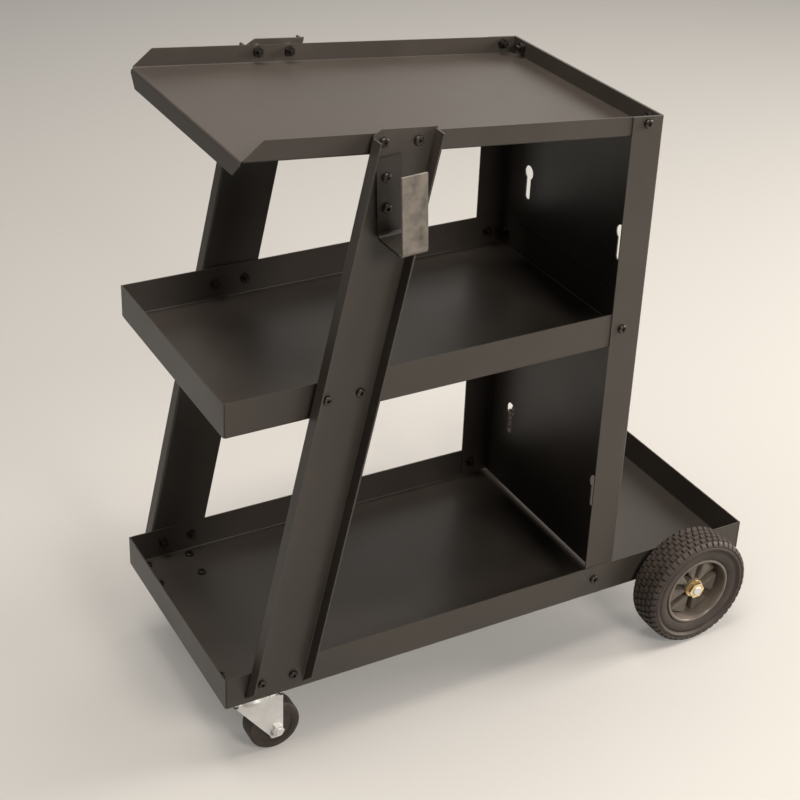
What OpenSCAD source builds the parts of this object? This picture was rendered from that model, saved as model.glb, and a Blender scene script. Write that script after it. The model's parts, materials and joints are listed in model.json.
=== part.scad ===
// Three-tier workshop cart: folded sheet trays, two leaning struts, a back panel,
// two fixed wheels at the back and two swivel casters at the front.
// The cart is drawn in its own frame first: x runs back from the front of the bottom
// tray, y is across, z is up from the bottom tray's underside. stand() then sets it
// down on its four wheels, with the origin on the floor under the middle.

/* [Sheet] */
// Thickness of the tray and panel sheet
sheet_t = 1.5; // [1.2:0.1:2]
// Outside radius of the folds in the sheet
fold_r = 3; // [2.5:0.25:4]
// Open seam between two rims where they meet at a corner
seam = 0.5; // [0.3:0.1:1]

/* [Bottom tray] */
// Outside width of the bottom tray
tray_w = 305; // [290:1:340]
// Outside length of the bottom tray
tray_len = 722; // [690:1:780]
// Height of the rims of the bottom and the middle tray
rim_h = 42; // [38:1:50]

/* [Middle tray] */
// Distance of its front behind the front of the bottom tray
middle_front = 4; // [0:1:20]
// Height of its underside above the underside of the bottom tray
middle_rise = 352; // [320:1:380]

/* [Top tray] */
// Distance of its front edge behind the front of the bottom tray
top_front = 26; // [20:0.5:40]
// Height of its front edge above the underside of the bottom tray
top_rise = 653; // [630:0.5:680]
// Slope of its plate, falling towards the back
top_slope = 5.3; // [4:0.1:6.5]
// Height of its side rims above the plate
top_rim = 21; // [19:0.5:26]
// Drop of its front lip
lip_drop = 19; // [17:0.5:26]
// Corner cut of the front lip
lip_cut = 14; // [6:1:15]

/* [Back panel] */
// Distance of its rear face behind the front of the bottom tray
panel_back = 522.8; // [510:0.2:535]
// Depth of its forward side folds, which serve as posts
post_depth = 41.3; // [36:0.1:46]
// Gap between its lower edge and the floor of the bottom tray
panel_gap = 3; // [2:0.5:5]
// Diameter of the round end of a keyhole
key_d = 18; // [16:1:20]
// Width of the slot of a keyhole
key_slot = 9.5; // [8:0.5:11]
// Drop of the slot below the centre of the round end
key_drop = 31; // [26:1:36]
// Distance between the two columns of keyholes
key_span = 196; // [170:2:210]
// Height of the lower keyholes
key_low = 127; // [110:1:160]
// Height of the upper keyholes
key_high = 468; // [440:1:500]
// Distance of a post's bolt at the bottom tray from the panel
low_bolt_in = 27; // [20:0.5:32]
// Distance of a post's bolt at the middle tray from the panel
mid_bolt_in = 25; // [22:0.5:30]
// Distance of a post's bolt at the top tray from the panel
top_bolt_in = 20; // [19:0.5:28]
// Distance of a rear rim's bolt at the middle tray from its side
mid_rear_in = 12.5; // [11:0.5:20]
// Distance of a rear rim's bolt at the top tray from its side
top_rear_in = 19.5; // [12:0.5:24]

/* [Struts] */
// Width of a strut across its face
strut_w = 71; // [66:1:76]
// Lean of the struts from upright
strut_lean = 12.25; // [11.5:0.25:13]
// Depth of the folded edges of a strut
strut_flange = 18; // [15:1:22]
// Thickness of the strut sheet
strut_t = 2; // [1.5:0.5:2.5]
// Distance of the strut's front edge behind the tray's front, at the tray's underside
strut_foot = 21.5; // [16:0.5:26]
// Height of the lower end of a strut
strut_low = 10; // [8:1:14]
// Rise of the strut above the rim of the top tray
strut_over = 5.5; // [4:0.5:8]
// Height left without folded edges at the top of a strut
strut_bare = 6; // [5:1:20]
// Corner cut at the top of a strut
strut_cut = 10; // [8:1:13]
// Spacing of the two bolts at each crossing
bolt_pair = 39; // [36:1:44]

/* [Cable hook] */
// Width of the strap
hook_w = 28.5; // [26:0.5:34]
// Thickness of the strap
hook_t = 2.5; // [2:0.5:3]
// Reach of the hook from the strut's face
hook_reach = 55.5; // [50:0.5:70]
// Height of the hook
hook_h = 87.5; // [80:0.5:95]
// Gap between the hook and the bolt heads above it
hook_gap = 10; // [6:0.5:14]
// Outside radius of the hook's bends
hook_r = 7; // [5:0.5:9]
// Distance of the hook's front edge behind the tray's front
hook_front = 167.5; // [167:0.5:170]
// Lean of the hook towards the front
hook_lean = 3; // [0:0.5:4]

/* [Fasteners] */
// Diameter of the frame bolts
bolt_d = 6; // [5:0.5:8]
// Diameter of a bolt head
head_d = 10.5; // [10:0.5:13]
// Height of a bolt head
head_h = 3.4; // [3:0.2:4.4]
// Width across the flats of the drive socket
socket_w = 4; // [3:0.5:4.5]
// Width across the flats of a nut
nut_w = 10; // [9:0.5:11]
// Height of a nut
nut_h = 5; // [4:0.5:6]
// Length of a bolt past its nut
bolt_end = 5; // [2:0.5:7]
// Diameter of the washers between strut and tray
spacer_d = 14; // [13:1:17]

/* [Rear wheels] */
// Diameter of the rear wheels
wheel_d = 148; // [136:1:150]
// Width of the rear tyres
wheel_w = 45; // [40:1:50]
// Distance of the rear axle behind the front of the bottom tray
axle_x = 625; // [600:1:640]
// Diameter of the rear axle
axle_d = 12; // [10:1:12]
// Gap between the tray's side and the tyre
wheel_gap = 5.5; // [5:0.5:12]
// Diameter of the hub in the tyre
hub_d = 92; // [84:1:96]
// Number of spokes of the hub
spokes = 6; // [5:1:7]
// Width of a spoke half way out
spoke_w = 24; // [18:1:25]
// Number of tread blocks round the tyre
treads = 48; // [24:1:52]
// Depth of the tread
tread_h = 2.6; // [2:0.2:3.4]
// Width of the strap that holds the axle under the tray
saddle_w = 20; // [16:1:24]
// Distance of the strap's middle from the tray's side
saddle_in = 27.5; // [24:0.5:50]

/* [Casters] */
// Diameter of the caster wheels
caster_d = 64; // [60:1:66]
// Width of the caster wheels
caster_w = 24; // [20:1:26]
// Overall height of a caster
caster_h = 99; // [96:1:104]
// Distance of the swivel axis behind the front of the bottom tray
swivel_x = 46.5; // [44:0.5:52]
// Distance of the swivel axis from the tray's side
swivel_in = 34.5; // [34:0.5:44]
// Distance from the swivel axis back to the caster's axle
trail = 25; // [20:1:28]
// Length of the mounting plate
plate_l = 76; // [72:1:82]
// Width of the mounting plate
plate_w = 60; // [56:1:64]
// Distance between the plate's holes along the cart
plate_holes_x = 56; // [52:1:60]
// Distance between the plate's holes across the cart
plate_holes_y = 42; // [40:1:46]
// Thickness of the plate and of the fork
fork_t = 2.5; // [2:0.5:3]
// Diameter of the swivel raceway
race_d = 46; // [40:1:50]
// Diameter of the caster's axle bolt
caster_bolt_d = 8; // [6:1:8]

/* [Hidden] */
$fn = 48;
run = 0.05;
slide = 0.3;
lap = 1;

panel_front = panel_back - sheet_t;
half_w = tray_w / 2;
post_out = half_w - sheet_t;
inner_half = post_out - sheet_t;
strut_in = half_w;
strut_out = half_w + strut_t;
hole_d = bolt_d + 0.6;

top_len = (panel_front - top_front) / cos(top_slope);
function plate_z(x) = top_rise - (x - top_front) * tan(top_slope);
function rim_z(x) = plate_z(x) + top_rim / cos(top_slope);
function strut_x(z) = strut_foot + z * tan(strut_lean);
strut_span = strut_w / cos(strut_lean);
function strut_mid(z) = strut_x(z) + strut_span / 2;

low_bolt_z = rim_h * 0.57;
mid_bolt_z = middle_rise + rim_h * 0.52;
top_bolt_up = top_rim * 0.63;
top_mid_x = strut_mid(plate_z(strut_mid(plate_z(strut_foot))));
post_bolt_low = panel_front - low_bolt_in;
post_bolt_mid = panel_front - mid_bolt_in;
post_bolt_top = panel_front - top_bolt_in;
rear_bolt_top_y = inner_half - top_rear_in;
rear_bolt_mid_y = inner_half - mid_rear_in;

axle_r = axle_d / 2;
axle_z = -axle_r - slide;
wheel_r = wheel_d / 2;
tyre_in = half_w + wheel_gap;
wheel_y = tyre_in + wheel_w / 2;
tyre_out = tyre_in + wheel_w;
saddle_y = half_w - saddle_in;
hub_r = hub_d / 2;
boss_in = tyre_in + 2;
boss_out = tyre_out - wheel_w * 0.31;
boss_r = hub_d * 0.14;
washer_t = 1.6;
washer_r = axle_d;
axle_nut_w = axle_d * 1.58;
axle_nut_h = axle_d * 0.54;
axle_end = boss_out + slide + washer_t + axle_nut_h + washer_t;
spacer_in = half_w + 1;
nut_r = nut_w / sqrt(3);
hook_low = plate_z(hook_front + hook_w / 2) + top_bolt_up - head_d / 2 - hook_gap - hook_h;

caster_r = caster_d / 2;
swivel_y = half_w - swivel_in;
caster_z = caster_r - caster_h;
caster_x = swivel_x + trail;
race_z = -fork_t - 6.5;
yoke_z = race_z - slide - 6;
fork_in = caster_w / 2 + 2;
fork_out = fork_in + fork_t;
pin_r = 5;

// Nose-up angle at which all four wheels touch the floor
drop_z = axle_z - caster_z;
drop_x = axle_x - caster_x;
nose_up = acos((wheel_r - caster_r) / sqrt(drop_z * drop_z + drop_x * drop_x)) - atan2(drop_x, drop_z);
lift = wheel_r + axle_x * sin(nose_up) - axle_z * cos(nose_up);
mid_x = (tray_len * cos(nose_up) + rim_h * sin(nose_up)) / 2;
side_out = max(tyre_out, axle_end);
hook_out = strut_out + hook_reach;
shift_y = (max(hook_out, side_out) - side_out) / 2;

coat = "#2b2826";
zinc = "#c9cac6";
dark_steel = "#3a3836";
yellow_zinc = "#d8b36a";
rubber = "#1d1c1b";
black_plastic = "#181818";

// Sets the cart down on its wheels
module stand() {
    translate([-mid_x, shift_y, lift]) rotate([0, nose_up, 0]) children();
}

// The right side is the side of negative y
module right() {
    mirror([0, 1, 0]) children();
}

module both_sides() {
    children();
    right() children();
}

// Extrudes a section drawn in y and z along x
module along_x(x, len) {
    translate([x, 0, 0]) rotate([90, 0, 90]) linear_extrude(len) children();
}

// Extrudes a section drawn in x and z along y
module along_y(y, len) {
    translate([0, y + len, 0]) rotate([90, 0, 0]) linear_extrude(len) children();
}

// Open channel folded from sheet t thick, standing on its web
module channel(w, h, t, r) {
    difference() {
        union() {
            translate([-w / 2 + r, 0]) square([w - 2 * r, h]);
            translate([-w / 2, r]) square([w, h - r]);
            for (s = [-1, 1]) translate([s * (w / 2 - r), r]) circle(r);
        }
        translate([-w / 2 + r, t]) square([w - 2 * r, h]);
        translate([-w / 2 + t, r]) square([w - 2 * t, h]);
        for (s = [-1, 1]) translate([s * (w / 2 - r), r]) circle(r - t);
    }
}

// Sheet folded up through a right angle, with its outer corner at the origin
module fold(leg, h) {
    translate([fold_r, 0]) square([leg, sheet_t]);
    translate([0, fold_r]) square([sheet_t, h - fold_r]);
    intersection() {
        translate([fold_r, fold_r]) difference() {
            circle(fold_r);
            circle(fold_r - sheet_t);
        }
        square(fold_r);
    }
}

// Button head bolt along -x from its seat, with the head on the +x side
module bolt(grip) {
    rotate([0, 90, 0]) difference() {
        union() {
            rotate_extrude() {
                square([head_d / 2 - 1.6, head_h]);
                square([head_d / 2, head_h - 1.6]);
                intersection() {
                    translate([head_d / 2 - 1.6, head_h - 1.6]) circle(1.6);
                    translate([head_d / 2 - 1.6, head_h - 1.6]) square(1.6);
                }
            }
            translate([0, 0, -grip]) cylinder(h = grip + lap, r = bolt_d / 2);
        }
        translate([0, 0, head_h * 0.4]) cylinder(h = head_h, r = socket_w / sqrt(3), $fn = 6);
    }
}

// Nut with its seat at the origin, on the -x side
module nut() {
    rotate([0, -90, 0]) difference() {
        union() {
            cylinder(h = nut_h, r = nut_r, $fn = 6);
            cylinder(h = washer_t / 2, r = nut_r);
        }
        translate([0, 0, -lap]) cylinder(h = nut_h + 2 * lap, r = bolt_d / 2 + run);
    }
}

// Turns a fastener drawn along x so that its head looks out along y, up or back
module facing_y() { rotate([0, 0, 90]) children(); }
module facing_up() { rotate([0, -90, 0]) children(); }

// Bolt grip that ends a little past the nut
function grip(stack) = stack + nut_h + bolt_end;

// Round hole across a sheet that stands in x and z
module hole_y(d, y) {
    translate([0, y - 4 * lap, 0]) rotate([-90, 0, 0]) cylinder(h = 8 * lap, r = d / 2);
}

// Centres of the strut's bolts at the three trays
module at_strut_low() {
    for (s = [-1, 1]) translate([strut_mid(low_bolt_z) + s * bolt_pair / 2, 0, low_bolt_z]) children();
}
module at_strut_mid() {
    for (s = [-1, 1]) translate([strut_mid(mid_bolt_z) + s * bolt_pair / 2, 0, mid_bolt_z]) children();
}
module at_strut_top() {
    for (s = [-1, 1]) {
        x = top_mid_x + s * bolt_pair / 2;
        translate([x, 0, plate_z(x) + top_bolt_up]) children();
    }
}

// Centres of the bolts through the posts
module at_post_low() { translate([post_bolt_low, 0, low_bolt_z]) children(); }
module at_post_mid() { translate([post_bolt_mid, 0, mid_bolt_z]) children(); }
module at_post_top() {
    translate([post_bolt_top, 0, plate_z(post_bolt_top) + top_bolt_up]) children();
}

// Centres of the bolts through the rear rims, on the panel's front face
module at_rear_mid() {
    for (s = [-1, 1]) translate([panel_front, s * rear_bolt_mid_y, mid_bolt_z]) children();
}
module at_rear_top() {
    z = plate_z(panel_front) + top_bolt_up;
    for (s = [-1, 1]) translate([panel_front, s * rear_bolt_top_y, z]) children();
}

module hole_x() {
    rotate([0, 90, 0]) translate([0, 0, -4 * lap]) cylinder(h = 8 * lap, r = hole_d / 2);
}

// Tray with a rim on all four sides
module pan(len, w, h) {
    along_x(fold_r, len - 2 * fold_r) channel(w, h, sheet_t, fold_r);
    for (e = [0, 1]) translate([e * len, 0, 0]) mirror([e, 0, 0]) {
        along_y(-w / 2 + fold_r, w - 2 * fold_r) fold(fold_r, h);
        translate([0, -w / 2, fold_r]) cube([sheet_t, w, h - fold_r]);
        for (s = [-1, 1]) translate([sheet_t + seam, s * (w - sheet_t) / 2 - sheet_t / 2, fold_r])
            cube([fold_r, sheet_t, h - fold_r]);
    }
}

// Clears the rear corners of a tray for the folds of the back panel
module rear_corner_cut(z, h) {
    for (s = [-1, 1]) translate([panel_front, s * inner_half, z]) rotate([0, 0, 45])
        translate([-fold_r / 2, -fold_r / 2, 0]) cube([fold_r, fold_r, h]);
}

module bottom_tray() {
    color(coat) stand() difference() {
        pan(tray_len, tray_w, rim_h);
        both_sides() {
            at_strut_low() hole_y(hole_d, half_w);
            at_post_low() hole_y(hole_d, half_w);
            at_saddle_bolts() cylinder(h = 8 * lap, r = hole_d / 2, center = true);
            at_plate_bolts() cylinder(h = 8 * lap, r = hole_d / 2, center = true);
        }
    }
}

module middle_tray() {
    color(coat) stand() difference() {
        translate([middle_front, 0, middle_rise])
            pan(panel_front - middle_front, 2 * inner_half, rim_h);
        both_sides() {
            at_strut_mid() hole_y(hole_d, inner_half);
            at_post_mid() hole_y(hole_d, inner_half);
        }
        at_rear_mid() hole_x();
        rear_corner_cut(middle_rise - lap, rim_h + 2 * lap);
    }
}

module top_tray() {
    w = 2 * inner_half;
    bend_x = panel_front - fold_r;
    bend_z = plate_z(bend_x) + (fold_r - sheet_t) / cos(top_slope);
    color(coat) stand() difference() {
        union() {
            intersection() {
                translate([top_front, 0, top_rise]) rotate([0, top_slope, 0]) top_plate(w);
                along_y(-w, 2 * w) polygon([
                    [-top_front, 0], [bend_x - fold_r * tan(top_slope), bend_z - fold_r],
                    [bend_x, bend_z], [panel_front, bend_z], [panel_front, 2 * top_rise],
                    [-top_front, 2 * top_rise]
                ]);
            }
            translate([panel_front - sheet_t, -w / 2, bend_z])
                cube([sheet_t, w, rim_z(panel_front) - bend_z]);
            along_y(-w / 2 + fold_r, w - 2 * fold_r) translate([bend_x, bend_z]) intersection() {
                difference() {
                    circle(fold_r);
                    circle(fold_r - sheet_t);
                }
                polygon([[0, 0], [2 * fold_r, 0], [2 * fold_r, -2 * fold_r],
                    [-2 * fold_r * tan(top_slope), -2 * fold_r]]);
            }
        }
        for (s = [-1, 1])
            translate([panel_front - sheet_t - seam, s * (w - sheet_t) / 2 - sheet_t, bend_z + fold_r])
                cube([seam, 2 * sheet_t, 2 * top_rim]);
        both_sides() {
            at_strut_top() hole_y(hole_d, inner_half);
            at_post_top() hole_y(hole_d, inner_half);
        }
        at_rear_top() hole_x();
        rear_corner_cut(plate_z(panel_front) - top_rim, 3 * top_rim);
    }
}

// Sloping plate with two side rims and a front lip that is folded down
module top_plate(w) {
    difference() {
        translate([0, 0, -sheet_t]) along_x(fold_r, top_len + 2 * top_rim)
            channel(w, top_rim + sheet_t, sheet_t, fold_r);
        along_y(-w, 2 * w) polygon([
            [-lap, -lap + fold_r], [-lap, 2 * top_rim], [2 * top_rim + fold_r + lap, 2 * top_rim],
            [fold_r + lap, fold_r - lap]
        ]);
    }
    along_y(-w / 2 + fold_r, w - 2 * fold_r) mirror([0, 1]) fold(fold_r, fold_r + lap);
    along_x(0, sheet_t) polygon([
        [-w / 2 + fold_r, -fold_r], [w / 2 - fold_r, -fold_r],
        [w / 2 - fold_r, lip_cut - lip_drop], [w / 2 - fold_r - lip_cut, -lip_drop],
        [-w / 2 + fold_r + lip_cut, -lip_drop], [-w / 2 + fold_r, lip_cut - lip_drop]
    ]);
}

module back_panel() {
    low = sheet_t + panel_gap;
    color(coat) stand() difference() {
        translate([panel_back, 0, low]) rotate([0, 0, 90]) linear_extrude(top_rise)
            channel(2 * post_out, post_depth, sheet_t, fold_r);
        along_y(-tray_w, 2 * tray_w) polygon([
            [0, rim_z(0)], [tray_len, rim_z(tray_len)], [tray_len, 2 * top_rise], [0, 2 * top_rise]
        ]);
        both_sides() {
            at_post_low() hole_y(hole_d, post_out);
            at_post_mid() hole_y(hole_d, post_out);
            at_post_top() hole_y(hole_d, post_out);
        }
        at_rear_mid() hole_x();
        at_rear_top() hole_x();
        for (s = [-1, 1], z = [key_low, key_high]) translate([panel_front, s * key_span / 2, z]) keyhole();
    }
}

module keyhole() {
    rotate([0, 90, 0]) translate([0, 0, -4 * lap]) linear_extrude(8 * lap) {
        circle(key_d / 2);
        translate([0, -key_slot / 2]) square([key_drop, key_slot]);
        translate([key_drop, 0]) circle(key_slot / 2);
    }
}

// Leaning channel on the left side, open outwards
module strut() {
    top_x = top_mid_x;
    top_z = rim_z(top_x) + strut_over;
    bare_z = top_z - strut_bare;
    run_up = tan(top_slope);
    front_x = strut_x(top_z);
    rear_x = front_x + strut_span;
    color(coat) stand() difference() {
        intersection() {
            translate([strut_foot, strut_in, 0]) rotate([0, strut_lean, 0])
                translate([strut_w / 2, 0, -strut_w]) linear_extrude(top_rise + 4 * strut_w)
                    channel(strut_w, strut_flange, strut_t, fold_r);
            along_y(strut_in, strut_flange) polygon([
                [-strut_w, strut_low], [tray_len, strut_low],
                [tray_len, bare_z], [rear_x + strut_w, bare_z],
                [rear_x - strut_cut * 0.8, top_z + (top_x - rear_x + strut_cut * 0.8) * run_up],
                [front_x + strut_cut, top_z + (top_x - front_x - strut_cut) * run_up],
                [front_x - strut_w, top_z - strut_w * 0.6], [-strut_w, bare_z - strut_w]
            ]);
        }
        along_y(strut_out, strut_flange) polygon([
            [0, bare_z], [tray_len, bare_z], [tray_len, 2 * top_rise], [0, 2 * top_rise]
        ]);
        along_x(-strut_w, tray_len) polygon([
            [strut_out, strut_low], [strut_out + strut_flange, strut_low + strut_flange],
            [strut_out + strut_flange, 0], [strut_out, 0]
        ]);
        at_strut_low() hole_y(hole_d, strut_in);
        at_strut_mid() hole_y(hole_d, strut_in);
        at_strut_top() hole_y(hole_d, strut_in);
        at_hook_bolts() hole_y(hole_d, strut_in);
    }
}

module strut_left() { strut(); }
module strut_right() { color(coat) mirror_in_stand() strut(); }

// Mirrors a part that already stands on the wheels to the other side of the cart
module mirror_in_stand() {
    translate([0, 2 * shift_y, 0]) mirror([0, 1, 0]) children();
}

// Leans the hook about the front corner of its upper end
module at_hook() {
    translate([hook_front, 0, hook_low + hook_h]) rotate([0, -hook_lean, 0])
        translate([0, 0, -hook_h]) children();
}

module at_hook_bolts() {
    at_hook() for (z = [hook_h * 0.37, hook_h * 0.755]) translate([hook_w * 0.38, 0, z]) children();
}

// Strap bent into an upright hook on the right strut
module cable_hook() {
    color(coat) stand() right() difference() {
        at_hook() translate([0, strut_out + hook_reach / 2, 0]) along_x(0, hook_w)
            channel(hook_reach, hook_h, hook_t, hook_r);
        at_hook_bolts() hole_y(hole_d, strut_out);
    }
}

module strut_bolts() {
    color(dark_steel) stand() both_sides() {
        at_strut_low() translate([0, strut_out, 0]) facing_y() bolt(grip(strut_t + sheet_t));
        at_strut_mid() translate([0, strut_out, 0]) facing_y() bolt(grip(strut_out - inner_half + sheet_t));
        at_strut_top() translate([0, strut_out, 0]) facing_y() bolt(grip(strut_out - inner_half + sheet_t));
    }
}

module strut_nuts() {
    color(dark_steel) stand() both_sides() {
        at_strut_low() translate([0, half_w - sheet_t, 0]) facing_y() nut();
        at_strut_mid() translate([0, inner_half - sheet_t, 0]) facing_y() nut();
        at_strut_top() translate([0, inner_half - sheet_t, 0]) facing_y() nut();
    }
}

module strut_spacers() {
    color(zinc) stand() both_sides() {
        at_strut_mid() spacer();
        at_strut_top() spacer();
    }
}

module spacer() {
    translate([0, inner_half, 0]) rotate([-90, 0, 0]) difference() {
        cylinder(h = strut_in - inner_half, r = spacer_d / 2);
        translate([0, 0, -lap]) cylinder(h = tray_w, r = hole_d / 2);
    }
}

module post_bolts() {
    color(dark_steel) stand() both_sides() {
        at_post_low() translate([0, half_w, 0]) facing_y() bolt(grip(2 * sheet_t));
        at_post_mid() translate([0, post_out, 0]) facing_y() bolt(grip(2 * sheet_t));
        at_post_top() translate([0, post_out, 0]) facing_y() bolt(grip(2 * sheet_t));
    }
}

module post_nuts() {
    color(dark_steel) stand() both_sides() {
        at_post_low() translate([0, half_w - 2 * sheet_t, 0]) facing_y() nut();
        at_post_mid() translate([0, post_out - 2 * sheet_t, 0]) facing_y() nut();
        at_post_top() translate([0, post_out - 2 * sheet_t, 0]) facing_y() nut();
    }
}

module rear_rim_bolts() {
    color(dark_steel) stand() {
        at_rear_mid() translate([sheet_t, 0, 0]) bolt(grip(2 * sheet_t));
        at_rear_top() translate([sheet_t, 0, 0]) bolt(grip(2 * sheet_t));
    }
}

module rear_rim_nuts() {
    color(dark_steel) stand() {
        at_rear_mid() translate([-sheet_t, 0, 0]) nut();
        at_rear_top() translate([-sheet_t, 0, 0]) nut();
    }
}

module hook_bolts() {
    color(dark_steel) stand() right() at_hook_bolts()
        translate([0, strut_out + hook_t, 0]) facing_y() bolt(grip(hook_t + strut_t));
}

module hook_nuts() {
    color(dark_steel) stand() right() at_hook_bolts() translate([0, strut_in, 0]) facing_y() nut();
}

// Rear axle, held up against the tray by two straps
module rear_axle() {
    c = 1;
    color(zinc) stand() translate([axle_x, 0, axle_z]) rotate([90, 0, 0]) rotate_extrude() polygon([
        [0, -axle_end], [axle_r - c, -axle_end], [axle_r, c - axle_end],
        [axle_r, axle_end - c], [axle_r - c, axle_end], [0, axle_end]
    ]);
}

saddle_r = axle_r + run + fork_t;
saddle_reach = saddle_r + 2 * nut_r + 3;

module at_saddle_bolts() {
    for (s = [-1, 1])
        translate([axle_x + s * (saddle_r + nut_r + 2), saddle_y, 0]) children();
}

module axle_saddles() {
    color(zinc) stand() both_sides() difference() {
        along_y(saddle_y - saddle_w / 2, saddle_w) translate([axle_x, 0]) difference() {
            union() {
                translate([-saddle_reach, -fork_t]) square([2 * saddle_reach, fork_t]);
                translate([-saddle_r, axle_z]) square([2 * saddle_r, -axle_z]);
                intersection() {
                    translate([0, axle_z]) circle(saddle_r);
                    translate([-saddle_r, axle_z - saddle_r]) square([2 * saddle_r, saddle_r]);
                }
            }
            translate([0, axle_z]) circle(axle_r + run);
            translate([-axle_r - run, axle_z]) square([2 * (axle_r + run), -axle_z + lap]);
        }
        at_saddle_bolts() cylinder(h = 8 * lap, r = hole_d / 2, center = true);
    }
}

module saddle_bolts() {
    color(dark_steel) stand() both_sides() at_saddle_bolts()
        translate([0, 0, sheet_t]) facing_up() bolt(grip(sheet_t + fork_t));
}

module saddle_nuts() {
    color(zinc) stand() both_sides() at_saddle_bolts() translate([0, 0, -fork_t]) facing_up() nut();
}

// Ring round the rear axle, from y to y + len on both sides
module axle_ring(r, y, len) {
    stand() both_sides() translate([axle_x, y, axle_z]) rotate([-90, 0, 0]) difference() {
        cylinder(h = len, r = r);
        translate([0, 0, -lap]) cylinder(h = len + 2 * lap, r = axle_r + run);
    }
}

module axle_spacers() { color(zinc) axle_ring(axle_r * 1.5, spacer_in, boss_in - slide - spacer_in); }
module axle_washers() { color(yellow_zinc) axle_ring(washer_r, boss_out + slide, washer_t); }

module axle_nuts() {
    color(yellow_zinc) stand() both_sides() translate([axle_x, boss_out + slide + washer_t, axle_z])
        rotate([-90, 0, 0]) difference() {
            union() {
                cylinder(h = axle_nut_h, r = axle_nut_w / sqrt(3), $fn = 6);
                cylinder(h = washer_t, r = axle_nut_w * 0.6);
            }
            translate([0, 0, -lap]) cylinder(h = axle_nut_h + 2 * lap, r = axle_r + run);
        }
}

// Sets a wheel drawn round z, with its outer face up, on the left end of the axle
module on_axle() {
    stand() translate([axle_x, wheel_y, axle_z]) rotate([-90, 0, 0]) children();
}

module tyre() {
    hw = wheel_w / 2;
    base = wheel_r - tread_h;
    shoulder = 7;
    ring_r = wheel_r - 17;
    color(rubber) on_axle() difference() {
        rotate_extrude($fn = 96) difference() {
            union() {
                translate([hub_r, -hw + 5]) square([wheel_r - hub_r - shoulder, wheel_w - 10]);
                translate([hub_r + 7, -hw]) square([wheel_r - hub_r - 7 - shoulder, wheel_w]);
                translate([wheel_r - 2 * shoulder, -hw + shoulder])
                    square([2 * shoulder, wheel_w - 2 * shoulder]);
                for (s = [-1, 1]) translate([wheel_r - shoulder, s * (hw - shoulder)]) circle(shoulder);
                for (s = [-1, 1]) translate([hub_r + 7, s * (hw - 5)]) circle(5);
            }
            translate([0, -hw]) square([hub_r, wheel_w]);
            for (s = [-1, 1]) translate([ring_r, s * (hw + 0.6)]) circle(1.8);
            for (s = [-1, 0, 1]) translate([base, s * hw * 0.4 - 1]) square([2 * tread_h, 2]);
        }
        for (k = [0:treads - 1]) rotate([0, 0, k * 360 / treads]) {
            for (s = [-1, 1]) translate([base, -1.1, s * hw * 0.76 - hw * 0.36])
                cube([2 * tread_h, 2.2, hw * 0.72]);
            rotate([0, 0, 180 / treads]) translate([base, -1.1, -hw * 0.4])
                cube([2 * tread_h, 2.2, hw * 0.8]);
        }
    }
}

// Spoked hub with a bore that turns on the axle
module hub() {
    hw = wheel_w / 2;
    in = boss_in - wheel_y;
    out = boss_out - wheel_y;
    seat = hw - 5;
    rim_in = hub_r - 4;
    web = 3;
    crown = seat - 4;
    color(black_plastic) on_axle() difference() {
        union() {
            rotate_extrude($fn = 96) polygon([
                [0, in], [boss_r, in], [boss_r, -web], [rim_in, -web], [rim_in, -seat],
                [hub_r, -seat], [hub_r, seat], [rim_in - 2, seat], [rim_in - 3, seat - 1],
                [rim_in - 3, seat - 3], [rim_in, seat - 3], [rim_in, web], [boss_r, web],
                [boss_r, out], [0, out]
            ]);
            intersection() {
                for (k = [0:spokes - 1]) rotate([0, 0, (k + 0.5) * 360 / spokes])
                    linear_extrude(hw) polygon([
                        [boss_r / 2, -spoke_w * 0.08], [rim_in + 1, -spoke_w * 0.84],
                        [rim_in + 1, spoke_w * 0.84], [boss_r / 2, spoke_w * 0.08]
                    ]);
                rotate_extrude($fn = 96) polygon([
                    [0, 0], [hub_r - 1, 0], [hub_r - 1, crown], [rim_in - 3, crown],
                    [boss_r, out - 1], [0, out - 1]
                ]);
            }
        }
        translate([0, 0, -wheel_w]) cylinder(h = 2 * wheel_w, r = axle_r + run);
    }
}

module tyre_left() { tyre(); }
module tyre_right() { mirror_in_stand() tyre(); }
module hub_left() { hub(); }
module hub_right() { mirror_in_stand() hub(); }

module at_swivel() { translate([swivel_x, swivel_y, 0]) children(); }

module at_plate_bolts() {
    for (a = [-1, 1], b = [-1, 1])
        translate([swivel_x + a * plate_holes_x / 2, swivel_y + b * plate_holes_y / 2, 0]) children();
}

// Square mounting plate with the upper raceway pressed out of it
module caster_plate() {
    c = 5;
    color(zinc) stand() difference() {
        union() {
            at_swivel() translate([0, 0, -fork_t]) linear_extrude(fork_t) rounded_rect(plate_l, plate_w, c);
            at_swivel() rotate_extrude() polygon([
                [0, race_z], [race_d / 2 - 4, race_z], [race_d / 2 - 1, race_z + 2],
                [race_d / 2 - 1, race_z + 5], [race_d / 2 + 2, -fork_t], [0, -fork_t]
            ]);
        }
        at_swivel() cylinder(h = caster_h, r = pin_r + run, center = true);
        at_plate_bolts() cylinder(h = caster_h, r = hole_d / 2, center = true);
    }
}

module rounded_rect(l, w, c) {
    square([l - 2 * c, w], center = true);
    square([l, w - 2 * c], center = true);
    for (a = [-1, 1], b = [-1, 1]) translate([a * (l / 2 - c), b * (w / 2 - c)]) circle(c);
}

// Rivet on which the fork swivels
module kingpin() {
    color(zinc) stand() at_swivel() {
        translate([0, 0, yoke_z - fork_t - slide]) cylinder(h = -yoke_z + slide + fork_t - slide, r = pin_r);
        translate([0, 0, yoke_z - fork_t - slide - 2.5]) cylinder(h = 2.5, r = pin_r + 3);
    }
}

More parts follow.
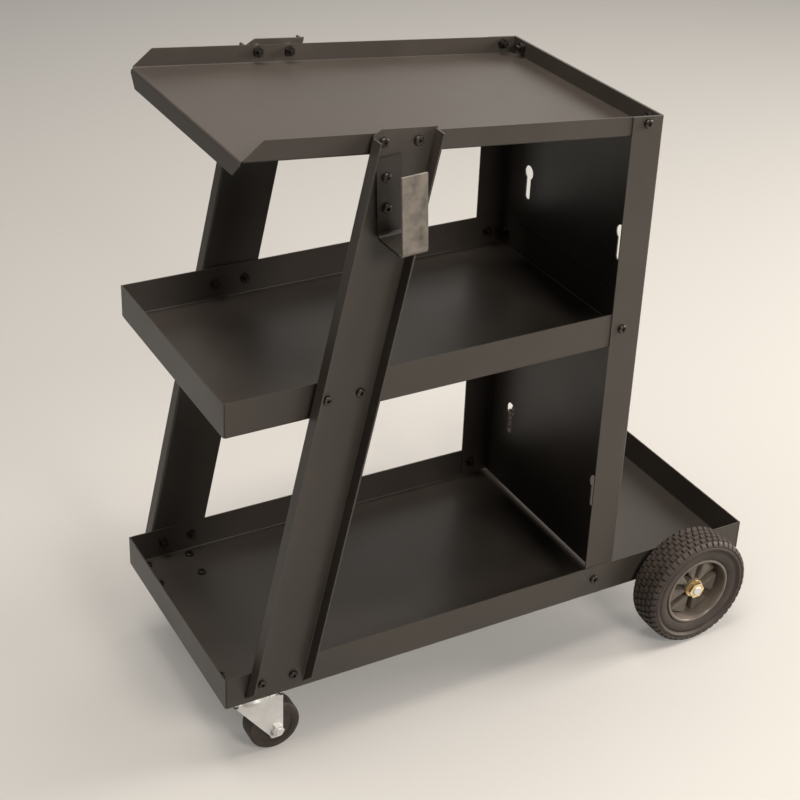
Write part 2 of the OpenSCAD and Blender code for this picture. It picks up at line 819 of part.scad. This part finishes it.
// Bent fork: lower raceway on a yoke with two legs that reach back to the axle
module fork() {
    leg_low = caster_z - 13;
    foot = 8;
    top_front_x = -race_d / 2 - 1;
    rear = trail + foot;
    color(zinc) stand() at_swivel() difference() {
        union() {
            intersection() {
                translate([0, 0, yoke_z]) mirror([0, 0, 1]) along_x(top_front_x, rear - top_front_x)
                    channel(2 * fork_out, yoke_z - leg_low, fork_t, fork_t + 2);
                along_y(-fork_out, 2 * fork_out) union() {
                    polygon([
                        [top_front_x, yoke_z], [rear, yoke_z], [rear, leg_low + foot / 2],
                        [rear - foot / 2, leg_low], [trail - foot / 2, leg_low],
                        [trail - foot, leg_low + foot / 2], [top_front_x, yoke_z - 7]
                    ]);
                    for (s = [-1, 1]) translate([trail + s * foot / 2, leg_low + foot / 2]) circle(foot / 2);
                }
            }
            translate([0, 0, yoke_z - fork_t]) cylinder(h = fork_t, r = race_d / 2 + 1);
            translate([0, 0, yoke_z]) rotate_extrude() polygon([
                [0, 0], [race_d / 2 + 1, 0], [race_d / 2 + 1, 2],
                [race_d / 2 - 2, 6], [0, 6]
            ]);
        }
        cylinder(h = 4 * caster_h, r = pin_r + run, center = true);
        translate([trail, 0, caster_z]) rotate([90, 0, 0])
            cylinder(h = caster_h, r = caster_bolt_d / 2 + 2 * run, center = true);
    }
}

// Sets a part drawn round z on the left caster's axle
module on_caster() {
    stand() translate([caster_x, swivel_y, caster_z]) rotate([-90, 0, 0]) children();
}

core_r = caster_r * 0.8;

module caster_tread() {
    hw = caster_w / 2;
    c = caster_w / 8;
    color(rubber) on_caster() rotate_extrude($fn = 96) {
        translate([core_r, -hw]) square([caster_r - core_r - c, caster_w]);
        translate([core_r, -hw + c]) square([caster_r - core_r, caster_w - 2 * c]);
        for (s = [-1, 1]) translate([caster_r - c, s * (hw - c)]) circle(c);
    }
}

module caster_core() {
    hw = caster_w / 2;
    color(black_plastic) on_caster() difference() {
        rotate_extrude($fn = 96) union() {
            translate([0, -hw + 1.5]) square([core_r, caster_w - 3]);
            translate([core_r - 3, -hw + 0.5]) square([3, caster_w - 1]);
            translate([0, -fork_in + slide]) square([8, 2 * fork_in - 2 * slide]);
        }
        cylinder(h = caster_d, r = caster_bolt_d / 2 + run, center = true);
    }
}

caster_nut_w = 13;
caster_nut_h = 6;

// Axle bolt with its hex head on the inner leg
module caster_axle() {
    color(zinc) on_caster() {
        translate([0, 0, -fork_out]) cylinder(h = 2 * fork_out + caster_nut_h + 1.5, r = caster_bolt_d / 2);
        translate([0, 0, -fork_out - 5]) cylinder(h = 5, r = caster_nut_w / sqrt(3), $fn = 6);
    }
}

module caster_nut() {
    color(zinc) on_caster() translate([0, 0, fork_out]) difference() {
        cylinder(h = caster_nut_h, r = caster_nut_w / sqrt(3), $fn = 6);
        translate([0, 0, -lap]) cylinder(h = caster_nut_h + 2 * lap, r = caster_bolt_d / 2 + run);
    }
}

module caster_bolts() {
    color(dark_steel) stand() both_sides() at_plate_bolts()
        translate([0, 0, sheet_t]) facing_up() bolt(grip(sheet_t + fork_t));
}

module caster_nuts() {
    color(zinc) stand() both_sides() at_plate_bolts() translate([0, 0, -fork_t]) facing_up() nut();
}

module caster_plate_left() { caster_plate(); }
module caster_plate_right() { mirror_in_stand() caster_plate(); }
module kingpin_left() { kingpin(); }
module kingpin_right() { mirror_in_stand() kingpin(); }
module fork_left() { fork(); }
module fork_right() { mirror_in_stand() fork(); }
module caster_tread_left() { caster_tread(); }
module caster_tread_right() { mirror_in_stand() caster_tread(); }
module caster_core_left() { caster_core(); }
module caster_core_right() { mirror_in_stand() caster_core(); }
module caster_axle_left() { caster_axle(); }
module caster_axle_right() { mirror_in_stand() caster_axle(); }
module caster_nut_left() { caster_nut(); }
module caster_nut_right() { mirror_in_stand() caster_nut(); }

bottom_tray();
middle_tray();
top_tray();
back_panel();
strut_right();
strut_left();
cable_hook();
strut_bolts();
strut_nuts();
strut_spacers();
post_bolts();
post_nuts();
rear_rim_bolts();
rear_rim_nuts();
hook_bolts();
hook_nuts();
rear_axle();
axle_saddles();
saddle_bolts();
saddle_nuts();
axle_spacers();
axle_washers();
axle_nuts();
tyre_right();
tyre_left();
hub_right();
hub_left();
caster_plate_right();
caster_plate_left();
caster_bolts();
caster_nuts();
kingpin_right();
kingpin_left();
fork_right();
fork_left();
caster_tread_right();
caster_tread_left();
caster_core_right();
caster_core_left();
caster_axle_right();
caster_axle_left();
caster_nut_right();
caster_nut_left();
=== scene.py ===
"""Three-tier workshop cart in black powder coat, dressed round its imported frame."""

import json

import bpy
import numpy as np
from mathutils import Matrix, Vector


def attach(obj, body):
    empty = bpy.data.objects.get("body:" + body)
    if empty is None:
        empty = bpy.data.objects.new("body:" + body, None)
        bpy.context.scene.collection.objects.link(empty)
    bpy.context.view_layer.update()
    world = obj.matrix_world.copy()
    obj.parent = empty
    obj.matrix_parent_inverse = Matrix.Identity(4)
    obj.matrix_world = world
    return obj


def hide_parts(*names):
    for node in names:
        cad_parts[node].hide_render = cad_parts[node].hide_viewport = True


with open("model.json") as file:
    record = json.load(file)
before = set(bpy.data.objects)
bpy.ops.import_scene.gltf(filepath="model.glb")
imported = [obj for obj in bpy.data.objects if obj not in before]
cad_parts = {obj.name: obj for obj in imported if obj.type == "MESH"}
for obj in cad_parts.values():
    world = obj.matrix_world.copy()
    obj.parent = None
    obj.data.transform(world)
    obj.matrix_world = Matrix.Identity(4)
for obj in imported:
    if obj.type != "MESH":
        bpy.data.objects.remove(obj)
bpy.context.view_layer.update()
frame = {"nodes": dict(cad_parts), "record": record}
nodes = frame["nodes"]

# Trays and back panel. Mild steel sheet, cut, folded and sprayed with satin black powder
# that is baked on. The coat is a thin plastic skin: it shows a faint orange peel, a soft
# sheen towards the light and slow changes of tone.
MM = 0.001
film_size, peel_size, peel_h = 90 * MM, 1.6 * MM, 0.3 * MM
noise_span = {"From Min": 0.25, "From Max": 0.75}  # a noise's values lie mostly in between


def colour(code):
    """Linear RGBA from an sRGB hex code: the two-part sRGB curve, undone channel by channel."""
    srgb = np.array([int(code[i : i + 2], 16) for i in (1, 3, 5)]) / 255
    linear = np.where(srgb <= 0.04045, srgb / 12.92, ((srgb + 0.055) / 1.055) ** 2.4)
    return (*linear.tolist(), 1.0)


def new_material(name):
    """A material whose node tree is still empty."""
    material = bpy.data.materials.new(name)
    material.use_nodes = True
    material.node_tree.nodes.clear()
    return material


def add(owner, kind, settings=None, out=0):
    """Adds one node and gives back one of its outputs. A setting names a property or an input:
    another node's output is linked in, and stops are a colour ramp's places and hex codes."""
    tree = owner.node_tree
    node = tree.nodes.new(kind)
    for key, value in (settings or {}).items():
        if key == "stops":
            for stop, (position, code) in zip(node.color_ramp.elements, value):
                stop.position, stop.color = position, colour(code)
        elif isinstance(value, bpy.types.NodeSocket):
            tree.links.new(value, node.inputs[key])
        elif isinstance(key, str) and hasattr(node, key):
            setattr(node, key, value)
        else:
            node.inputs[key].default_value = value
    return node.outputs[out] if len(node.outputs) else None


def dress(material, *names):
    """Puts one finish on each CAD node named."""
    for name in names:
        mesh = nodes[name].data
        mesh.materials.clear()
        mesh.materials.append(material)


coat = new_material("satin_black_powder_coat")
place = add(coat, "ShaderNodeTexCoord", out="Object")
film = add(coat, "ShaderNodeTexNoise", {"Vector": place, "Scale": 1 / film_size, "Detail": 5})
peel = add(coat, "ShaderNodeTexNoise", {"Vector": place, "Scale": 1 / peel_size, "Detail": 2})
tone = {"Fac": film, "stops": ((0.3, "#3e3833"), (0.75, "#47413b"))}
gloss = {"Value": film, **noise_span, "To Min": 0.36, "To Max": 0.46}
relief = {"Height": peel, "Strength": 0.12, "Distance": peel_h}
finish = {
    "Base Color": add(coat, "ShaderNodeValToRGB", tone),
    "Roughness": add(coat, "ShaderNodeMapRange", gloss),
    "Normal": add(coat, "ShaderNodeBump", relief),
    "IOR": 1.5,
}
shader = add(coat, "ShaderNodeBsdfPrincipled", finish)
add(coat, "ShaderNodeOutputMaterial", {"Surface": shader})
dress(coat, "bottom_tray", "middle_tray", "top_tray", "back_panel")

# Struts. Two millimetre sheet folded into channels on a press brake and coated with
# the trays, then bolted against the trays' sides.
dress(coat, "strut_right", "strut_left")

# Cable hook. A flat strap bent to a U and coated with the trays. Its outer lip face is
# painted paler in patches: a painted highlight for the light the jutting lip catches.
mottle_size = 12 * MM
lip_from, lip_full = -197 * MM, -204 * MM  # along y, where the painted highlight begins and where it is full
strap = new_material("powder_coat_painted_lit_lip")
place = add(strap, "ShaderNodeTexCoord", out="Object")
sideways = add(strap, "ShaderNodeSeparateXYZ", {"Vector": place}, out="Y")
mottle = add(strap, "ShaderNodeTexNoise", {"Vector": place, "Scale": 1 / mottle_size, "Detail": 6})
peel = add(strap, "ShaderNodeTexNoise", {"Vector": place, "Scale": 1 / peel_size, "Detail": 2})
# Painted highlight: outwards of lip_from the strap turns paler in patches, for the lit lip.
patchy = add(strap, "ShaderNodeMapRange", {"Value": mottle, "From Min": 0.1, "From Max": 0.6})
lit_lip = {"Value": sideways, "From Min": lip_from, "From Max": lip_full, "To Max": patchy}
lip_painted_light = add(strap, "ShaderNodeMapRange", lit_lip)
tone = {"Fac": lip_painted_light, "stops": ((0.0, "#332e29"), (1.0, "#8f877d"))}
gloss = {"Value": mottle, **noise_span, "To Min": 0.36, "To Max": 0.46}
relief = {"Height": peel, "Strength": 0.12, "Distance": peel_h}
finish = {
    "Base Color": add(strap, "ShaderNodeValToRGB", tone),
    "Roughness": add(strap, "ShaderNodeMapRange", gloss),
    "Normal": add(strap, "ShaderNodeBump", relief),
    "IOR": 1.5,
}
shader = add(strap, "ShaderNodeBsdfPrincipled", finish)
add(strap, "ShaderNodeOutputMaterial", {"Surface": shader})
dress(strap, "cable_hook")

# Frame bolts and nuts. Button heads with a hex drive and plain hex nuts, blackened
# in hot oil. The oxide skin is dark and uneven, lighter in random patches.
oxide_size = 3 * MM
oxide = new_material("blackened_steel")
place = add(oxide, "ShaderNodeTexCoord", out="Object")
skin = add(oxide, "ShaderNodeTexNoise", {"Vector": place, "Scale": 1 / oxide_size, "Detail": 3})
tone = {"Fac": skin, "stops": ((0.3, "#2c2927"), (0.75, "#5a544f"))}
gloss = {"Value": skin, **noise_span, "To Min": 0.26, "To Max": 0.38}
finish = {
    "Base Color": add(oxide, "ShaderNodeValToRGB", tone),
    "Roughness": add(oxide, "ShaderNodeMapRange", gloss),
    "Metallic": 0.85,
}
shader = add(oxide, "ShaderNodeBsdfPrincipled", finish)
add(oxide, "ShaderNodeOutputMaterial", {"Surface": shader})
dress(oxide, "strut_bolts", "post_bolts", "rear_rim_bolts", "hook_bolts")
dress(oxide, "strut_nuts", "post_nuts", "rear_rim_nuts", "hook_nuts")
dress(oxide, "saddle_bolts", "caster_bolts")

# Axle, its straps and spacers, and the washers behind the struts. Turned or pressed
# steel, electroplated with bright zinc: drawn nearly white and barely metallic, partly the
# zinc's own pale grey and partly a painted reflection. Soft clouds from the bath vary it.
# Its grain is drawn coarser than the real one's, so that it shows close up.
cloud_size, grain_size, grain_h = 12 * MM, 1.2 * MM, 0.2 * MM
zinc = new_material("zinc_plate_painted_reflection")
place = add(zinc, "ShaderNodeTexCoord", out="Object")
bath = add(zinc, "ShaderNodeTexNoise", {"Vector": place, "Scale": 1 / cloud_size, "Detail": 4})
grain = add(zinc, "ShaderNodeTexNoise", {"Vector": place, "Scale": 1 / grain_size, "Detail": 2})
# Painted reflection: a near white base at metallic 0.1 stands in for the bright floor it mirrors.
tone = {"Fac": bath, "stops": ((0.3, "#f0f0ed"), (0.7, "#fcfcf9"))}
gloss = {"Value": bath, **noise_span, "To Min": 0.3, "To Max": 0.44}
relief = {"Height": grain, "Strength": 0.08, "Distance": grain_h}
finish = {
    "Base Color": add(zinc, "ShaderNodeValToRGB", tone),
    "Roughness": add(zinc, "ShaderNodeMapRange", gloss),
    "Normal": add(zinc, "ShaderNodeBump", relief),
    "Metallic": 0.1,
}
shader = add(zinc, "ShaderNodeBsdfPrincipled", finish)
add(zinc, "ShaderNodeOutputMaterial", {"Surface": shader})
dress(zinc, "strut_spacers", "rear_axle", "axle_saddles", "saddle_nuts", "axle_spacers")

# Wheel nuts and washers. Zinc plated and passivated yellow, which leaves a pale
# straw colour with slow changes from gold to cream.
straw_size = 6 * MM
yellow = new_material("yellow_passivated_zinc")
place = add(yellow, "ShaderNodeTexCoord", out="Object")
bath = add(yellow, "ShaderNodeTexNoise", {"Vector": place, "Scale": 1 / straw_size, "Detail": 2})
tone = {"Fac": bath, "stops": ((0.35, "#e6c88f"), (0.65, "#f6e6c2"))}
finish = {
    "Base Color": add(yellow, "ShaderNodeValToRGB", tone),
    "Metallic": 0.85,
    "Roughness": 0.3,
}
shader = add(yellow, "ShaderNodeBsdfPrincipled", finish)
add(yellow, "ShaderNodeOutputMaterial", {"Surface": shader})
dress(yellow, "axle_washers", "axle_nuts")

# Rear tyres. Solid rubber pressed in a mould, matt and a little dusty. The tread is rows
# of blocks, staggered by half a pitch, and the outer rows run over the shoulder. A raised
# ring guards each side wall. The rubber's grit is drawn coarser than real, to show close up.
sides = ("right", "left")
# Each wheel's middle, in millimetres, is the place of its joint in the frame.
joint_at = {joint["name"]: joint["pos_m"] for joint in frame["record"]["behaviour"]["joints"]}
wheel_at = {side: np.array(joint_at["rear_wheel_%s_spin" % side]) / MM for side in sides}
wheel_r = 74.0
shoulder_r, crown_half, crown_drop = 7.0, 15.5, 0.6


def shell(name, surfaces, material, sharp):
    """One mesh of closed surfaces, each an array of points (across, along, xyz) in millimetres
    whose rows and columns both run round and join. A surface that encloses a negative volume
    is turned, so that every face points outwards. Edges past sharp degrees stay crisp."""
    points, faces, start = [], [], 0
    for surface in surfaces:
        across, along = surface.shape[:2]
        index = np.arange(across * along).reshape(across, along)
        ahead, beside = np.roll(index, -1, 0), np.roll(index, -1, 1)
        quads = np.stack([index, ahead, np.roll(ahead, -1, 1), beside], -1).reshape(-1, 4)
        flat = surface.reshape(-1, 3)
        a, b, c, d = (flat[quads[:, k]] for k in range(4))
        volume = (np.cross(a, b) * c).sum() + (np.cross(a, c) * d).sum()
        faces.append((quads if volume > 0 else quads[:, ::-1]) + start)
        points.append(flat * MM)
        start += len(flat)
    points, faces = np.concatenate(points), np.concatenate(faces)
    mesh = bpy.data.meshes.new(name)
    mesh.vertices.add(len(points))
    mesh.vertices.foreach_set("co", points.ravel())
    mesh.loops.add(faces.size)
    mesh.loops.foreach_set("vertex_index", faces.ravel())
    mesh.polygons.add(len(faces))
    mesh.polygons.foreach_set("loop_start", np.arange(0, faces.size, 4))
    mesh.update(calc_edges=True)
    mesh.shade_smooth()
    mesh.set_sharp_from_angle(angle=np.radians(sharp))
    mesh.materials.append(material)
    piece = bpy.data.objects.new(name, mesh)
    bpy.context.scene.collection.objects.link(piece)
    return piece


def on_axle(radius, axial, angle, side):
    """Points at a radius and an angle round the axle, axial millimetres outwards of the wheel's
    middle: x = r cos, z = r sin, and y outwards on the wheel's own side."""
    radius, axial, angle = np.broadcast_arrays(radius, axial, angle)
    outwards = -axial if side == "right" else axial
    return wheel_at[side] + np.stack([radius * np.cos(angle), outwards, radius * np.sin(angle)], -1)


def step(low, high, value):
    """Smooth step: 0 below low, 1 above high, 3t² - 2t³ between."""
    t = np.clip((value - low) / (high - low), 0, 1)
    return t * t * (3 - 2 * t)


# The tread's grooves and cross slots have a floor and sloping edges. Distances along
# the section count from the middle of the tread.
tread_count, tread_h = 48, 2.8
slot_floor, slot_top = 0.9, 1.75
fade_from, fade_to, past_tread = 22.0, 26.0, 40.0
groove_at = np.array([-16.0, -8.0, 0.0, 8.0, 16.0])
slot_edge = np.array([-slot_top, -slot_floor, slot_floor, slot_top])
half_pitch = np.pi * wheel_r / tread_count
turn = (np.arange(2 * tread_count)[:, None] + slot_edge / half_pitch).ravel()

# The section runs from the middle of the tread over one shoulder and down the side
# wall to the bead, and is mirrored for the other half.
block_mid_s, shoulder_s = [4, 12], [19, 21, 23, 25]
tread_s = np.append((groove_at[2:, None] + slot_edge).ravel(), block_mid_s + shoulder_s)
tread_s = np.sort(tread_s[tread_s > 0])
bend = np.clip((tread_s - crown_half) / shoulder_r, 0, np.pi / 2)
crown = crown_drop * (tread_s / crown_half).clip(0, 1) ** 2
tread_radius = wheel_r - shoulder_r * (1 - np.cos(bend)) - crown
tread_axial = np.minimum(tread_s, crown_half) + shoulder_r * np.sin(bend)
wall_radius, wall_axial = np.transpose(
    [
        (66.5, 21.3), (65.8, 21.7), (65.2, 22.3), (64.0, 22.5), (62.8, 22.3), (62.0, 21.4),
        (61.2, 20.0), (60.0, 19.2), (58.8, 19.6), (57.6, 20.3), (55.0, 20.4), (52.0, 19.9),
        (48.6, 18.9), (46.8, 17.8), (46.0, 16.4),
    ]
)  # fmt: skip
section_s = np.append(tread_s, np.full(len(wall_radius), past_tread))
section_radius = np.append(tread_radius, wall_radius)
section_axial = np.append(tread_axial, wall_axial)
section_lean = np.append(bend, np.full(len(wall_radius), np.pi / 2))


def tyre(side):
    """Section carried round the axle. Grooves and cross slots sink the tread along the section's
    own normal: full depth inside an edge line, none outside it, a smooth step between."""
    s = np.concatenate([-section_s[::-1], section_s])
    radius = np.concatenate([section_radius[::-1], section_radius])
    axial = np.concatenate([-section_axial[::-1], section_axial])
    lean = np.concatenate([-section_lean[::-1], section_lean])
    groove = 1 - step(slot_floor, slot_top, np.abs(s[:, None] - groove_at).min(1))
    row = np.digitize(s, groove_at) % 2
    to_slot = np.abs((turn[:, None] - row + 1) % 2 - 1) * half_pitch
    slot = 1 - step(slot_floor, slot_top, to_slot)
    fade = 1 - step(fade_from, fade_to, np.abs(s))
    sunk = tread_h * np.maximum(groove, slot) * fade
    angle = turn[:, None] * np.pi / tread_count
    surface = on_axle(radius - sunk * np.cos(lean), axial - sunk * np.sin(lean), angle, side)
    return shell("tyre_%s_moulded" % side, [surface], rubber, sharp=30)


dust_size, grit_size, grit_h = 20 * MM, 0.9 * MM, 0.2 * MM
rubber = new_material("moulded_black_rubber")
place = add(rubber, "ShaderNodeTexCoord", out="Object")
dust = add(rubber, "ShaderNodeTexNoise", {"Vector": place, "Scale": 1 / dust_size, "Detail": 5})
grit = add(rubber, "ShaderNodeTexNoise", {"Vector": place, "Scale": 1 / grit_size, "Detail": 2})
tone = {"Fac": dust, "stops": ((0.3, "#3a322c"), (0.75, "#4b413a"))}
relief = {"Height": grit, "Strength": 0.25, "Distance": grit_h}
finish = {
    "Base Color": add(rubber, "ShaderNodeValToRGB", tone),
    "Normal": add(rubber, "ShaderNodeBump", relief),
    "Roughness": 0.62,
    "IOR": 1.52,
}
shader = add(rubber, "ShaderNodeBsdfPrincipled", finish)
add(rubber, "ShaderNodeOutputMaterial", {"Surface": shader})
for side in sides:
    tyre_piece = tyre(side)
    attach(tyre_piece, "rear_wheel_" + side)
    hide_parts("tyre_" + side)

# Rear hubs. Injection moulded black polypropylene with a glossy face: a rim with a
# rolled lip, a deep drawn wall, and wedge spokes on a web that rise to the boss. Its
# dark colour is drawn a mid grey, painted light for the lit and glossy spokes.
hub_r, boss_r, bore_r = 46.0, 12.8, 6.15
boss_front, boss_back = 8.55, -20.5
web_front, web_back = -13.0, -16.5
spoke_count, spoke_gap, first_gap = 7, 6.0, np.radians(13.0)
spoke_end, spoke_low, spoke_high, spoke_crown = 39.6, 3.2, 6.4, 0.8
hub_section = np.array(
    [
        (bore_r, boss_back), (boss_r - 0.6, boss_back), (boss_r, boss_back + 0.6),
        (boss_r, web_back), (41.8, web_back), (43.0, -17.4), (hub_r, -17.5), (hub_r, 0.0),
        (hub_r, 17.4), (45.6, 18.5), (44.6, 19.1), (43.4, 19.1), (42.5, 18.6), (42.0, 17.6),
        (41.8, 12.0), (41.5, 4.0), (41.3, -5.0), (41.1, web_front + 1.8),
        (40.0, web_front + 0.3), (38.5, web_front), (14.5, web_front),
        (boss_r, web_front + 1.5), (boss_r - 0.2, boss_front - 0.9),
        (boss_r - 0.9, boss_front - 0.1), (boss_r - 1.6, boss_front),
        (bore_r + 0.6, boss_front), (bore_r, boss_front - 0.6),
    ]
)  # fmt: skip
spoke_at = np.array([10.5, 10.5, 13.5, 17, 22, 28, 34, 37.6, 39, spoke_end, spoke_end])
spoke_full = np.array([0, 1, 1, 1, 1, 1, 1, 1, 0.97, 0.88, 0])[:, None]
spoke_foot = web_front - 1.0  # sunk in the web
spoke_steps, hub_steps, box_power = 32, 160, 6


def spoke(middle, side):
    """Wedge from the boss nearly to the wall. Its half width is its share of the circle less half
    a gap, and its face falls from the boss and crowns. The section is a rounded box: the angle's
    cos and sin over the root of the sum of their powers. Both ends shrink to a point."""
    half = (np.pi * spoke_at / spoke_count - spoke_gap / 2)[:, None]
    top = np.interp(spoke_at, [boss_r, spoke_end], [spoke_high, spoke_low])[:, None]
    around = np.linspace(0, 2 * np.pi, spoke_steps, endpoint=False)
    power_sum = np.abs(np.cos(around)) ** box_power + np.abs(np.sin(around)) ** box_power
    corner = power_sum ** (1 / box_power)
    across = half * np.cos(around) / corner * spoke_full
    high = (top - spoke_foot) / 2 * np.sin(around) / corner * spoke_full + (top + spoke_foot) / 2
    high += spoke_crown * (1 - (across / half) ** 2) * (np.sin(around) > 0) * spoke_full
    along = spoke_at[:, None] + 0 * across
    return on_axle(np.hypot(along, across), high, middle + np.arctan2(across, along), side)


flow_size = 15 * MM
plastic = new_material("black_polypropylene_painted_light")
place = add(plastic, "ShaderNodeTexCoord", out="Object")
flow = add(plastic, "ShaderNodeTexNoise", {"Vector": place, "Scale": 1 / flow_size, "Detail": 3})
# Painted light: a mid grey in place of the plastic's own near black.
tone = {"Fac": flow, "stops": ((0.35, "#776e64"), (0.7, "#897f74"))}
gloss = {"Value": flow, **noise_span, "To Min": 0.14, "To Max": 0.26}
finish = {
    "Base Color": add(plastic, "ShaderNodeValToRGB", tone),
    "Roughness": add(plastic, "ShaderNodeMapRange", gloss),
    "IOR": 1.49,
}
shader = add(plastic, "ShaderNodeBsdfPrincipled", finish)
add(plastic, "ShaderNodeOutputMaterial", {"Surface": shader})
round_hub = np.linspace(0, 2 * np.pi, hub_steps, endpoint=False)[:, None]
spoke_mids = first_gap + (np.arange(spoke_count) + 0.5) * 2 * np.pi / spoke_count
for side in sides:
    rim = on_axle(hub_section[:, 0], hub_section[:, 1], round_hub, side)
    wedges = [spoke(middle, side) for middle in spoke_mids]
    hub_piece = shell("hub_%s_moulded" % side, [rim, *wedges], plastic, sharp=35)
    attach(hub_piece, "rear_wheel_" + side)
    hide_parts("hub_" + side)

# Swivel casters. Pressed and bright plated fork, plate and rivet, and a matt black wheel,
# its core and tread moulded in one grey-black compound, held by a plated bolt and nut.
for side in sides:
    # The plated parts take the near white zinc, which is partly a painted reflection.
    dress(zinc, "caster_plate_" + side, "kingpin_" + side, "fork_" + side)
    dress(zinc, "caster_axle_" + side, "caster_nut_" + side)
    dress(rubber, "caster_tread_" + side, "caster_core_" + side)
dress(zinc, "caster_nuts")

# Floor. A matt painted floor, plain and level. Only the camera, gloss and glass see it
# pale and faintly glowing, so that it throws little light back up under the trays.
floor_half = 12.0
haze, haze_tint = 0.22, colour("#e9e6e1")


def straight_ray(owner):
    """1 for a ray from the camera, from gloss or through glass, and 0 for light that bounces:
    the largest of three Light Path outputs."""
    seen = 0.0
    for ray in ("Is Camera Ray", "Is Glossy Ray", "Is Transmission Ray"):
        straight = add(owner, "ShaderNodeLightPath", out=ray)
        seen = add(owner, "ShaderNodeMath", {"operation": "MAXIMUM", 0: seen, 1: straight})
    return seen


floor_corners = [(-1, -1), (1, -1), (1, 1), (-1, 1)]
floor_points = [(floor_half * x, floor_half * y, 0) for x, y in floor_corners]
floor_mesh = bpy.data.meshes.new("floor")
floor_mesh.from_pydata(floor_points, [], [(0, 1, 2, 3)])
floor = bpy.data.objects.new("floor", floor_mesh)
bpy.context.scene.collection.objects.link(floor)
paint = new_material("pale_floor_paint")
seen = straight_ray(paint)
tone = {"Fac": seen, "stops": ((0.0, "#5a5855"), (1.0, "#b9b6b1"))}
finish = {
    "Base Color": add(paint, "ShaderNodeValToRGB", tone),
    "Emission Color": haze_tint,
    "Emission Strength": add(paint, "ShaderNodeMapRange", {"Value": seen, "To Max": haze}),
    "Roughness": 0.9,
}
shader = add(paint, "ShaderNodeBsdfPrincipled", finish)
add(paint, "ShaderNodeOutputMaterial", {"Surface": shader})
floor_mesh.materials.append(paint)

# Light. A small box in front of the near side, two broad ones above, and three at the
# right and back, whose sheen lies along the trays. The room is dim: only the camera,
# gloss and glass see it as pale as the floor's far end.
room_dim = 0.02
lamp_target = Vector((0.0, 0.0, 0.4))


def soft_box(name, place, size, power):
    """A square area lamp of that size at place, facing the middle of the cart."""
    data = bpy.data.lights.new(name, "AREA")
    data.shape = "SQUARE"
    data.size = size
    data.energy = power
    data.color = colour("#fff8f0")[:3]
    lamp = bpy.data.objects.new(name, data)
    lamp.location = place
    lamp.rotation_mode = "QUATERNION"
    lamp.rotation_quaternion = (lamp_target - Vector(place)).to_track_quat("-Z", "Y")
    bpy.context.scene.collection.objects.link(lamp)


room = bpy.data.worlds.new("room")
bpy.context.scene.world = room
room.use_nodes = True
room.node_tree.nodes.clear()
paleness = {"Value": straight_ray(room), "To Min": room_dim, "To Max": haze}
strength = add(room, "ShaderNodeMapRange", paleness)
air = add(room, "ShaderNodeBackground", {"Color": haze_tint, "Strength": strength})
add(room, "ShaderNodeOutputWorld", {"Surface": air})
soft_box("overhead_box", (0.0, -0.1, 2.8), 1.6, 46)
soft_box("front_top_box", (-1.18, 0.0, 2.94), 1.4, 25)
soft_box("key_box", (0.21, -2.42, 1.8), 0.7, 36)
soft_box("right_box", (2.61, -0.7, 1.12), 1.0, 80)
soft_box("back_right_box", (1.86, 1.56, 1.8), 1.4, 6.5)
soft_box("back_box", (1.07, 2.3, 1.58), 1.4, 3)

# Camera. It looks down on the cart's front right corner. Its lens and its picture
# centre were solved from the straight edges of the trays and struts.
view_azimuth, view_elevation, view_roll = np.radians((-28.025, 28.396, 0.121))
view_distance = 1.9604
view_aim = Vector((-0.0531, 0.0524, 0.4244))
back = Vector(
    (
        np.sin(view_azimuth) * np.cos(view_elevation),
        -np.cos(view_azimuth) * np.cos(view_elevation),
        np.sin(view_elevation),
    )
)
level_right = Vector((np.cos(view_azimuth), np.sin(view_azimuth), 0))
level_up = back.cross(level_right)
right = level_right * np.cos(view_roll) + level_up * np.sin(view_roll)
up = level_up * np.cos(view_roll) - level_right * np.sin(view_roll)
camera_data = bpy.data.cameras.new("camera")
camera_data.sensor_width = 36
camera_data.lens = 73.66
camera_data.shift_x = 0.01875
camera_data.shift_y = -0.1
camera_data.clip_start = 0.05
camera = bpy.data.objects.new("camera", camera_data)
camera.rotation_mode = "QUATERNION"
camera.location = view_aim + back * view_distance
camera.rotation_quaternion = Matrix((right, up, back)).transposed().to_quaternion()
bpy.context.scene.collection.objects.link(camera)
bpy.context.scene.camera = camera
bpy.context.scene.view_settings.view_transform = "Standard"

# The scene is brought up to date.
bpy.context.view_layer.update()
